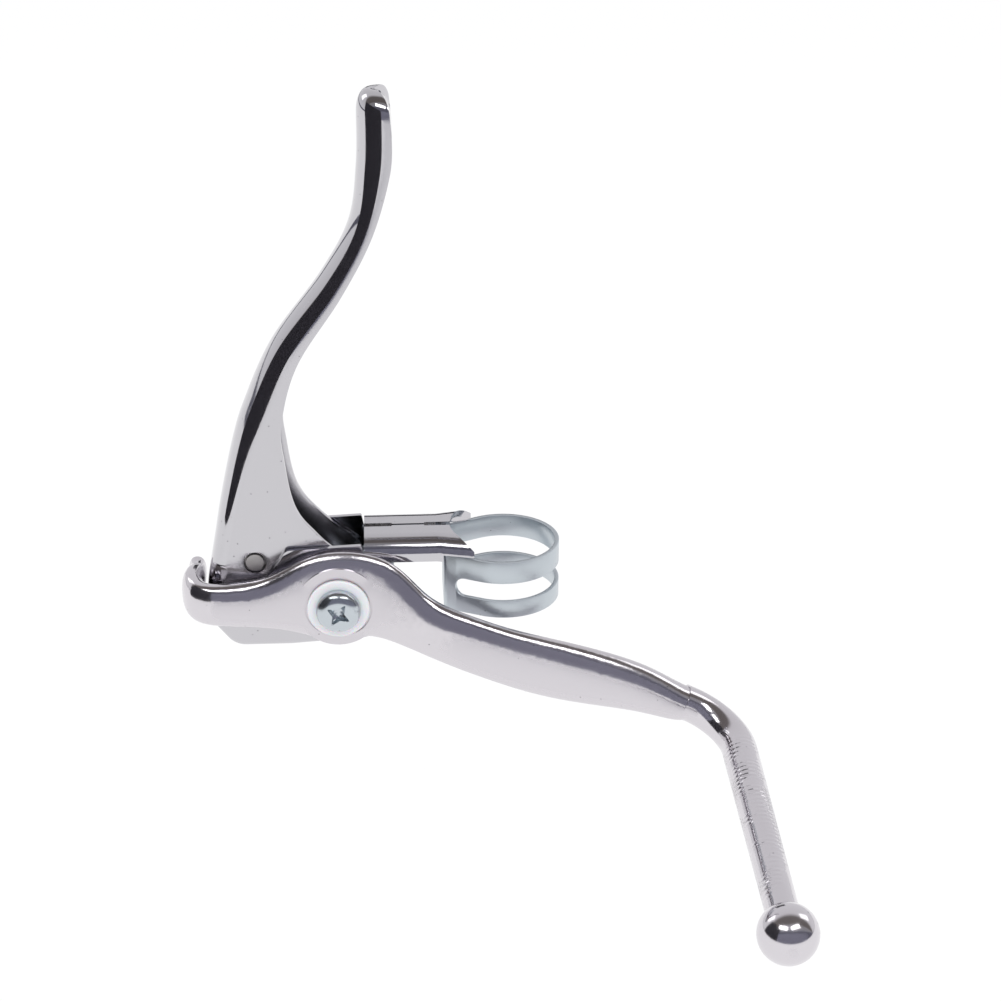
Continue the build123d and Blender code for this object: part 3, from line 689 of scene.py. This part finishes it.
def slot_half_height(point, slot_end):
    """Half the slot's height at a place on the strap, round beyond the slot's straight part."""
    if point.x > slot_end.x:
        return SLOT_RADIUS
    away = min((point - slot_end).length / SLOT_RADIUS, 1.0)
    return SLOT_RADIUS * math.sqrt(1 - away * away)


def band_mesh():
    """The strap as a D in section, with a round-ended slot that runs round it."""
    near = band_path()
    past_corner = [point for point in near if point.x > BAND_WALL[0] + 1]
    slot_end = next(point for point in past_corner if math.atan2(point.y, point.x) > SLOT_END_ANGLE)
    fine = []
    for start, stop in zip(near, near[1:]):
        steps = max(1, round((stop - start).length / BAND_STEP))
        fine += [start.lerp(stop, index / steps) for index in range(steps)]
    fine.append(near[-1])
    heights = [slot_half_height(point, slot_end) for point in fine]
    far = [(Vector((point.x, -point.y)), height) for point, height in zip(fine, heights)][::-1]
    stations = list(zip(fine, heights)) + far[1:-1]
    loops = []
    for index, (point, opening) in enumerate(stations):
        along = stations[(index + 1) % len(stations)][0] - stations[index - 1][0]
        inward = Vector((-along.y, along.x)).normalized() * BAND_SHEET
        levels = (-BAND_HALF_HEIGHT, SLOT_CENTRE_Z - opening, SLOT_CENTRE_Z + opening, BAND_HALF_HEIGHT)
        loops.append([[(p.x, p.y, z) for z in levels] for p in (point, point + inward)])
    work = bmesh.new()
    rows = [[[work.verts.new(Vector(p) * MM) for p in side] for side in pair] for pair in loops]
    for index, (outer, inner) in enumerate(rows):
        next_outer, next_inner = rows[(index + 1) % len(rows)]
        openings = max(stations[index][1], stations[(index + 1) % len(rows)][1])
        for low, high in ((0, 1), (2, 3)):
            work.faces.new((outer[low], next_outer[low], next_outer[high], outer[high]))
            work.faces.new((inner[low], inner[high], next_inner[high], next_inner[low]))
        for level in (0, 3) if openings == 0 else (0, 1, 2, 3):
            work.faces.new((outer[level], inner[level], next_inner[level], next_outer[level]))
    return closed_mesh(work, "strap")


SCREW_HEAD_RADIUS = 4.75
SCREW_FLAT_RADIUS = 2.2
SCREW_RINGS = 60
SCREW_CROWN_DROP = 0.1
SCREW_RIM_DROP = 1.9
SCREW_CHAMFER = 0.5
SCREW_TOP_Y = -17.4
SCREW_SEAT_Y = -14.6
SCREW_END_Y = -0.6
SCREW_SHANK_RADIUS = 2.5
SCREW_SEGMENTS = 128
RECESS_REACH = 2.9
RECESS_DEPTH = 1.8
RECESS_HALF_WIDTH = 1.25
RECESS_END_HALF_WIDTH = 0.06
RECESS_TAPER = 1.1
RECESS_WALL = 0.3
RECESS_TURN = math.radians(57)


def recess_depth(radius, angle):
    """How deep the worn cross recess is at a place on the screw's head."""
    deepest = 0.0
    for arm in range(4):
        away = angle - RECESS_TURN - arm * math.pi / 2
        along, aside = radius * math.cos(away), abs(radius * math.sin(away))
        if along < 0 or along > RECESS_REACH:
            continue
        left = 1 - along / RECESS_REACH
        half_width = RECESS_HALF_WIDTH * left ** RECESS_TAPER + RECESS_END_HALF_WIDTH
        wall = min(max((half_width - aside) / RECESS_WALL, 0.0), 1.0)
        deepest = max(deepest, RECESS_DEPTH * (1 - (1 - left) ** 2) * wall * wall * (3 - 2 * wall))
    return deepest


def screw_mesh():
    """The pivot's screw: a domed head with a worn cross recess, on its shank."""
    pivot_x, pivot_z, _ = PIVOT_HOLE
    rim = SCREW_HEAD_RADIUS - SCREW_FLAT_RADIUS
    profile = []
    for index in range(1, SCREW_RINGS + 1):
        radius = SCREW_HEAD_RADIUS * (index / SCREW_RINGS)
        drop = SCREW_CROWN_DROP * (radius / SCREW_HEAD_RADIUS) ** 2
        if radius > SCREW_FLAT_RADIUS:
            level = math.sqrt(max(0.0, 1 - ((radius - SCREW_FLAT_RADIUS) / rim) ** 2))
            drop += SCREW_RIM_DROP * (1 - level)
        profile.append((radius, SCREW_TOP_Y + drop, True))
    profile += [
        (SCREW_HEAD_RADIUS, SCREW_SEAT_Y, False),
        (SCREW_SHANK_RADIUS, SCREW_SEAT_Y, False),
        (SCREW_SHANK_RADIUS, SCREW_END_Y - SCREW_CHAMFER, False),
        (SCREW_SHANK_RADIUS - SCREW_CHAMFER, SCREW_END_Y, False),
    ]
    loops = []
    for radius, y, on_top in profile:
        loop = []
        for step in range(SCREW_SEGMENTS):
            angle = 2 * math.pi * step / SCREW_SEGMENTS
            sunk = recess_depth(radius, angle) if on_top else 0.0
            loop.append((pivot_x + radius * math.cos(angle), y + sunk, pivot_z + radius * math.sin(angle)))
        loops.append(loop)
    work, rows = skin(loops)
    middles = ((rows[0], SCREW_TOP_Y + RECESS_DEPTH), (rows[-1], SCREW_END_Y))
    for row, y in middles:
        middle = work.verts.new(Vector((pivot_x, y, pivot_z)) * MM)
        for index in range(len(row)):
            work.faces.new((row[index], row[(index + 1) % len(row)], middle))
    return closed_mesh(work, "pivot_screw_head")


def geometry_tree(name, inputs):
    """A geometry node tree with named inputs that ends in Realize Instances and Set Material."""
    tree = bpy.data.node_groups.new(name, "GeometryNodeTree")
    sockets = {}
    for socket, kind, default in inputs:
        made = tree.interface.new_socket(name=socket, in_out="INPUT", socket_type=kind)
        if default is not None:
            made.default_value = default
        sockets[socket] = made.identifier
    tree.interface.new_socket(name="Geometry", in_out="OUTPUT", socket_type="NodeSocketGeometry")
    enter = new_node(tree, "NodeGroupInput", (-6, 0))
    realize = new_node(tree, "GeometryNodeRealizeInstances", (4, 0))
    paint = new_node(tree, "GeometryNodeSetMaterial", (5, 0))
    leave = new_node(tree, "NodeGroupOutput", (6, 0))
    tree.links.new(realize.outputs[0], paint.inputs[0])
    tree.links.new(enter.outputs["Material"], paint.inputs["Material"])
    tree.links.new(paint.outputs[0], leave.inputs[0])
    return tree, enter, realize, sockets


def thread_tree():
    """A thread's ridge, wound along Z round the origin."""
    tree, enter, realize, sockets = geometry_tree(
        "ThreadRidge",
        [
            ("Radius", "NodeSocketFloat", 2.0 * MM),
            ("Length", "NodeSocketFloat", 1.5 * MM),
            ("Turns", "NodeSocketFloat", 2.0),
            ("Ridge", "NodeSocketFloat", 0.2 * MM),
            ("Material", "NodeSocketMaterial", None),
        ],
    )
    spiral = new_node(tree, "GeometryNodeCurveSpiral", (-2, 1), Resolution=48)
    ring = new_node(tree, "GeometryNodeCurvePrimitiveCircle", (-2, -1), Resolution=4)
    sweep = new_node(tree, "GeometryNodeCurveToMesh", (1, 0))
    sweep.inputs["Fill Caps"].default_value = True
    for target in ("Start Radius", "End Radius"):
        tree.links.new(enter.outputs["Radius"], spiral.inputs[target])
    tree.links.new(enter.outputs["Length"], spiral.inputs["Height"])
    tree.links.new(enter.outputs["Turns"], spiral.inputs["Rotations"])
    tree.links.new(enter.outputs["Ridge"], ring.inputs["Radius"])
    tree.links.new(spiral.outputs[0], sweep.inputs["Curve"])
    tree.links.new(ring.outputs[0], sweep.inputs["Profile Curve"])
    tree.links.new(sweep.outputs[0], realize.inputs[0])
    return tree, sockets


def rib_tree():
    """A row of upright ribs of uneven width along X, as a blunt shear leaves them."""
    tree, enter, realize, sockets = geometry_tree(
        "ShearRibs",
        [
            ("Count", "NodeSocketInt", 12),
            ("Spacing", "NodeSocketVector", (0.3 * MM, 0, 0)),
            ("Start", "NodeSocketVector", (0, 0, 0)),
            ("Radius", "NodeSocketFloat", 0.15 * MM),
            ("Height", "NodeSocketFloat", 0.9 * MM),
            ("Seed", "NodeSocketInt", 4),
            ("Material", "NodeSocketMaterial", None),
        ],
    )
    line = new_node(tree, "GeometryNodeMeshLine", (-4, 1))
    rib = new_node(tree, "GeometryNodeMeshCylinder", (-4, -1), Vertices=8)
    chance = new_node(tree, "FunctionNodeRandomValue", (-4, -2), data_type="FLOAT_VECTOR")
    chance.inputs[0].default_value = (0.6, 0.5, 0.85)
    chance.inputs[1].default_value = (1.2, 1.3, 1.0)
    spread = new_node(tree, "GeometryNodeInstanceOnPoints", (-1, 0))
    tree.links.new(enter.outputs["Count"], line.inputs["Count"])
    tree.links.new(enter.outputs["Spacing"], line.inputs["Offset"])
    tree.links.new(enter.outputs["Start"], line.inputs["Start Location"])
    tree.links.new(enter.outputs["Radius"], rib.inputs["Radius"])
    tree.links.new(enter.outputs["Height"], rib.inputs["Depth"])
    tree.links.new(enter.outputs["Seed"], chance.inputs["Seed"])
    tree.links.new(line.outputs[0], spread.inputs["Points"])
    tree.links.new(rib.outputs[0], spread.inputs["Instance"])
    tree.links.new(chance.outputs[0], spread.inputs["Scale"])
    tree.links.new(spread.outputs[0], realize.inputs[0])
    return tree, sockets


def grown(tree, sockets, values):
    """The plain mesh that a geometry node tree makes from the given inputs."""
    work = bpy.data.objects.new("work", bpy.data.meshes.new("work"))
    modifier = work.modifiers.new("grow", "NODES")
    modifier.node_group = tree
    for name, value in values.items():
        modifier[sockets[name]] = value
    bpy.context.scene.collection.objects.link(work)
    return plain_mesh(work)


# Raw sheared faces at both ends of the stem's seam: first x and number of ribs
SEAM_RIBS = [(-29.6, 19), (-16.8, 8)]
# y and z of the middle of the seam's far face
SEAM_FACE = (0.78, 9.9)


class LEVER_OT_body(bpy.types.Operator):
    """The folded body and its cable stop"""

    bl_idname = "lever.body"
    bl_label = "Body"

    def execute(self, context):
        build_finishes(context)
        smooth_copy("body_bracket", "folded_body")
        tree, sockets = rib_tree()
        for index, (x, count) in enumerate(SEAM_RIBS):
            values = {
                "Count": count,
                "Start": Vector((x, *SEAM_FACE)) * MM,
                "Seed": index,
                "Material": finishes["satin_steel"],
            }
            add_piece(grown(tree, sockets, values), f"seam_ribs_{index + 1}", "body", "satin_steel")
        smooth_copy("cable_stop", "cable_ferrule")
        return {"FINISHED"}


class LEVER_OT_band(bpy.types.Operator):
    """The clamp band with its bolt, washer and nut"""

    bl_idname = "lever.band"
    bl_label = "Clamp Band"

    def execute(self, context):
        build_finishes(context)
        x, z, radius = BOLT_HOLE
        hole = (Vector((x, 0, z)) * MM, radius * MM, BOLT_DRILL * MM)
        strap = finished(drilled(band_mesh(), [hole], "X"), rounded_rims(BAND_RIM * MM))
        seat(shaded(strap), "strap", "clamp_band")
        for node in ("clamp_bolt", "clamp_washer", "clamp_nut"):
            smooth_copy(node, "finished_" + node)
        tree, sockets = thread_tree()
        ridge = grown(tree, sockets, {"Material": finishes["zinc_steel"]})
        bolt_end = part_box("clamp_bolt")[0].x + THREAD_INSET * MM
        ridge.transform(Matrix.Translation((bolt_end, 0, z * MM)) @ Matrix.Rotation(math.pi / 2, 4, "Y"))
        add_piece(ridge, "bolt_thread", "body", "zinc_steel")
        return {"FINISHED"}


class LEVER_OT_pivot(bpy.types.Operator):
    """The pivot's sleeve, screw and washers"""

    bl_idname = "lever.pivot"
    bl_label = "Pivot"

    def execute(self, context):
        build_finishes(context)
        seat(shaded(screw_mesh()), "pivot_screw_finished", "pivot_screw")
        for node in ("pivot_sleeve", "inner_washer", "outer_washer"):
            smooth_copy(node, "finished_" + node)
        return {"FINISHED"}


class LEVER_OT_extension(bpy.types.Operator):
    """The cast extension lever"""

    bl_idname = "lever.extension"
    bl_label = "Extension Lever"

    def execute(self, context):
        build_finishes(context)
        smooth_copy("extension_lever", "cast_extension")
        return {"FINISHED"}


WHITE_GLOW = 1.03
SHADOW_SHARE = 0.2


def pale_surface(name, colour):
    """A surface that the camera and metal see as white, with a share that takes shadows."""
    material = bpy.data.materials.new(name)
    material.use_nodes = True
    tree = material.node_tree
    tree.nodes.clear()
    output = new_node(tree, "ShaderNodeOutputMaterial", (4, 0))
    diffuse = new_node(tree, "ShaderNodeBsdfDiffuse", (0, 1), Color=(*colour, 1))
    glow = new_node(tree, "ShaderNodeEmission", (0, -1), Color=(1, 1, 1, 1), Strength=WHITE_GLOW)
    path = new_node(tree, "ShaderNodeLightPath", (-2, 0))
    seen = new_node(tree, "ShaderNodeMath", (-1, 0), operation="MAXIMUM")
    share = new_node(tree, "ShaderNodeMath", (0, 0), operation="MULTIPLY")
    share.inputs[1].default_value = 1 - SHADOW_SHARE
    mix = new_node(tree, "ShaderNodeMixShader", (2, 0))
    tree.links.new(path.outputs["Is Camera Ray"], seen.inputs[0])
    tree.links.new(path.outputs["Is Glossy Ray"], seen.inputs[1])
    tree.links.new(seen.outputs[0], share.inputs[0])
    tree.links.new(share.outputs[0], mix.inputs[0])
    tree.links.new(diffuse.outputs[0], mix.inputs[1])
    tree.links.new(glow.outputs[0], mix.inputs[2])
    tree.links.new(mix.outputs[0], output.inputs["Surface"])
    return material


def card_material(name, colour):
    """A matt surface of one colour."""
    material = bpy.data.materials.new(name)
    material.use_nodes = True
    shader = material.node_tree.nodes["Principled BSDF"]
    shader.inputs["Base Color"].default_value = (*colour, 1)
    shader.inputs["Roughness"].default_value = 0.9
    return material


def stage_sheet(name, size, place, material):
    """A flat rectangle of the stage, which isn't part of the object."""
    x, y = size[0] / 2, size[1] / 2
    mesh = bpy.data.meshes.new(name)
    mesh.from_pydata([(-x, -y, 0), (x, -y, 0), (x, y, 0), (-x, y, 0)], [], [(0, 1, 2, 3)])
    mesh.transform(place)
    mesh.materials.append(material)
    obj = bpy.data.objects.new(name, mesh)
    bpy.context.scene.collection.objects.link(obj)
    return obj


def turned_towards(centre, target, axis):
    """The place at a centre whose given axis points to the target."""
    direction = Vector(target) - Vector(centre)
    return Matrix.Translation(centre) @ direction.to_track_quat(axis, "Y").to_matrix().to_4x4()


def card(name, size, centre, target, material):
    """A flat card that faces a point and that only reflections see."""
    obj = stage_sheet(name, size, turned_towards(centre, target, "Z"), material)
    obj.visible_camera = False
    obj.visible_shadow = False
    obj.visible_diffuse = False


def softbox(name, size, power, centre, target):
    """A soft lamp that shines at a point."""
    lamp = bpy.data.lights.new(name, "AREA")
    lamp.shape = "RECTANGLE"
    lamp.size, lamp.size_y = size
    lamp.energy = power
    obj = bpy.data.objects.new(name, lamp)
    obj.matrix_world = turned_towards(centre, target, "-Z")
    bpy.context.scene.collection.objects.link(obj)


# The room that the metal shows, from the front horizon over the top to the back horizon
ROOM_BANDS = [
    (0.00, (0.13, 0.13, 0.165)),
    (0.24, (0.13, 0.13, 0.165)),
    (0.27, (0.30, 0.30, 0.33)),
    (0.37, (0.30, 0.29, 0.30)),
    (0.40, (0.14, 0.125, 0.12)),
    (0.56, (0.16, 0.145, 0.14)),
    (0.63, (0.72, 0.71, 0.73)),
    (1.00, (0.82, 0.82, 0.84)),
]


def build_world(context):
    """White to the camera, banded like a light tent to the metal, and plain grey to the rest."""
    world = bpy.data.worlds.new("room")
    context.scene.world = world
    world.use_nodes = True
    tree = world.node_tree
    tree.nodes.clear()
    output = new_node(tree, "ShaderNodeOutputWorld", (6, 0))
    coords = new_node(tree, "ShaderNodeTexCoord", (-6, 0))
    parts = new_node(tree, "ShaderNodeSeparateXYZ", (-5, 0))
    front = new_node(tree, "ShaderNodeMath", (-4, 0), operation="MULTIPLY")
    front.inputs[1].default_value = -1.0
    angle = new_node(tree, "ShaderNodeMath", (-3, 0), operation="ARCTAN2")
    turn = new_node(tree, "ShaderNodeMath", (-2, 0), operation="DIVIDE")
    turn.inputs[1].default_value = math.pi
    bands = new_node(tree, "ShaderNodeValToRGB", (-1, 0))
    ramp = bands.color_ramp
    while len(ramp.elements) < len(ROOM_BANDS):
        ramp.elements.new(0.5)
    for element, (place, colour) in zip(ramp.elements, ROOM_BANDS):
        element.position = place
        element.color = (*colour, 1)
    tree.links.new(coords.outputs["Generated"], parts.inputs[0])
    tree.links.new(parts.outputs["Y"], front.inputs[0])
    tree.links.new(parts.outputs["Z"], angle.inputs[0])
    tree.links.new(front.outputs[0], angle.inputs[1])
    tree.links.new(angle.outputs[0], turn.inputs[0])
    tree.links.new(turn.outputs[0], bands.inputs[0])
    tent = new_node(tree, "ShaderNodeBackground", (1, 0), Strength=1.0)
    tree.links.new(bands.outputs[0], tent.inputs["Color"])
    room = new_node(tree, "ShaderNodeBackground", (1, 1), Color=(0.97, 0.97, 1.0, 1), Strength=0.9)
    white = new_node(tree, "ShaderNodeBackground", (1, -1), Color=(1, 1, 1, 1), Strength=1.0)
    path = new_node(tree, "ShaderNodeLightPath", (1, 2))
    metal = new_node(tree, "ShaderNodeMixShader", (3, 0))
    mix = new_node(tree, "ShaderNodeMixShader", (4, 0))
    tree.links.new(path.outputs["Is Glossy Ray"], metal.inputs[0])
    tree.links.new(room.outputs[0], metal.inputs[1])
    tree.links.new(tent.outputs[0], metal.inputs[2])
    tree.links.new(path.outputs["Is Camera Ray"], mix.inputs[0])
    tree.links.new(metal.outputs[0], mix.inputs[1])
    tree.links.new(white.outputs[0], mix.inputs[2])
    tree.links.new(mix.outputs[0], output.inputs["Surface"])


# What the camera is aimed from, and how far that point lies from the picture's middle
BAND_POINT = (-2.4, 0, -1.2)
BAND_OFFSET = (1.85, 15.13)


def build_camera(context):
    """The camera at the photograph's viewing angle, aimed from the clamp band."""
    stage = context.scene.lever_stage
    a, e = stage.azimuth, stage.elevation
    back = Vector((math.sin(a) * math.cos(e), -math.cos(a) * math.cos(e), math.sin(e)))
    right = Vector((math.cos(a), math.sin(a), 0))
    up = back.cross(right)
    aside = (right * BAND_OFFSET[0] + up * BAND_OFFSET[1]) * MM
    place = Vector(BAND_POINT) * MM + back * stage.distance + aside
    data = bpy.data.cameras.new("camera")
    data.sensor_width = 36
    data.sensor_fit = "HORIZONTAL"
    data.lens = stage.lens
    data.clip_start = 0.01
    camera = bpy.data.objects.new("camera", data)
    camera.matrix_world = Matrix.Translation(place) @ Matrix((right, up, back)).transposed().to_4x4()
    context.scene.collection.objects.link(camera)
    context.scene.camera = camera


# The extension lever swings 33 mm below its lowest point at rest, and the floor lies clear of that
SWING_ROOM = 40
# The stage in metres. Cards: name, width and height, centre, the point it faces, and its colour
FLOOR_SIZE = (6.0, 6.0)
DARK = ("dark_card", (0.02, 0.018, 0.024))
GREY = ("grey_card", (0.2, 0.2, 0.25))
CARDS = [
    ("card_left", (0.3, 0.26), (-0.22, -0.13, 0.09), (0.0, -0.05, 0.09), DARK),
    ("card_front", (2.4, 0.4), (0.0, -0.62, 0.158), (0.0, 0.0, 0.158), GREY),
    ("card_back", (0.16, 0.12), (0.0, 0.45, 0.125), (0.03, 0.0, 0.0), DARK),
]
# Lamps: name, size, share of the lamp power, centre and the point it faces
LAMPS = [
    ("lamp_front_left", (0.5, 0.2), 0.5, (-0.33, -0.50, 0.69), (-0.1, 0, 0.02)),
    ("lamp_front_right", (0.5, 0.2), 0.5, (0.33, -0.50, 0.69), (0.1, 0, 0.02)),
    ("lamp_left", (0.3, 0.5), 0.25, (-0.8, 0.5, 0.6), (0, 0, 0.03)),
    ("lamp_right", (0.3, 0.5), 0.25, (0.8, 0.3, 0.6), (0, 0, 0.03)),
]


class LEVER_OT_stage(bpy.types.Operator):
    """The pale floor, the soft lamps, the dark cards and the camera"""

    bl_idname = "lever.stage"
    bl_label = "Stage"

    def execute(self, context):
        stage = context.scene.lever_stage
        context.scene.view_settings.view_transform = "Standard"
        floor_place = Matrix.Translation((0, 0, lowest_z - SWING_ROOM * MM))
        stage_sheet("floor", FLOOR_SIZE, floor_place, pale_surface("pale_floor", tuple(stage.floor_colour)))
        surfaces = {look: card_material(*look) for look in (DARK, GREY)}
        for name, size, centre, target, look in CARDS:
            card(name, size, centre, target, surfaces[look])
        for name, size, share, centre, target in LAMPS:
            softbox(name, size, stage.lamp_power * share, centre, target)
        build_world(context)
        build_camera(context)
        return {"FINISHED"}


class LEVER_PT_panel(bpy.types.Panel):
    bl_idname = "LEVER_PT_panel"
    bl_label = "Brake Lever"
    bl_space_type = "VIEW_3D"
    bl_region_type = "UI"
    bl_category = "Brake Lever"

    def draw(self, context):
        for group in (context.scene.lever_finish, context.scene.lever_stage):
            for name in group.__annotations__:
                self.layout.prop(group, name)
        for operator in operators:
            self.layout.operator(operator.bl_idname)


operators = (
    LEVER_OT_stage,
    LEVER_OT_blade,
    LEVER_OT_body,
    LEVER_OT_band,
    LEVER_OT_pivot,
    LEVER_OT_extension,
)
property_groups = (LeverFinishProperties, LeverStageProperties)


def register():
    for cls in (*property_groups, *operators, LEVER_PT_panel):
        bpy.utils.register_class(cls)
    bpy.types.Scene.lever_finish = PointerProperty(type=LeverFinishProperties)
    bpy.types.Scene.lever_stage = PointerProperty(type=LeverStageProperties)


def unregister():
    del bpy.types.Scene.lever_stage
    del bpy.types.Scene.lever_finish
    for cls in (LEVER_PT_panel, *reversed(operators), *reversed(property_groups)):
        bpy.utils.unregister_class(cls)


def main():
    register()
    bpy.ops.lever.stage()
    bpy.ops.lever.blade()
    bpy.ops.lever.body()
    bpy.ops.lever.band()
    bpy.ops.lever.pivot()
    bpy.ops.lever.extension()


if __name__ == "__main__":
    main()
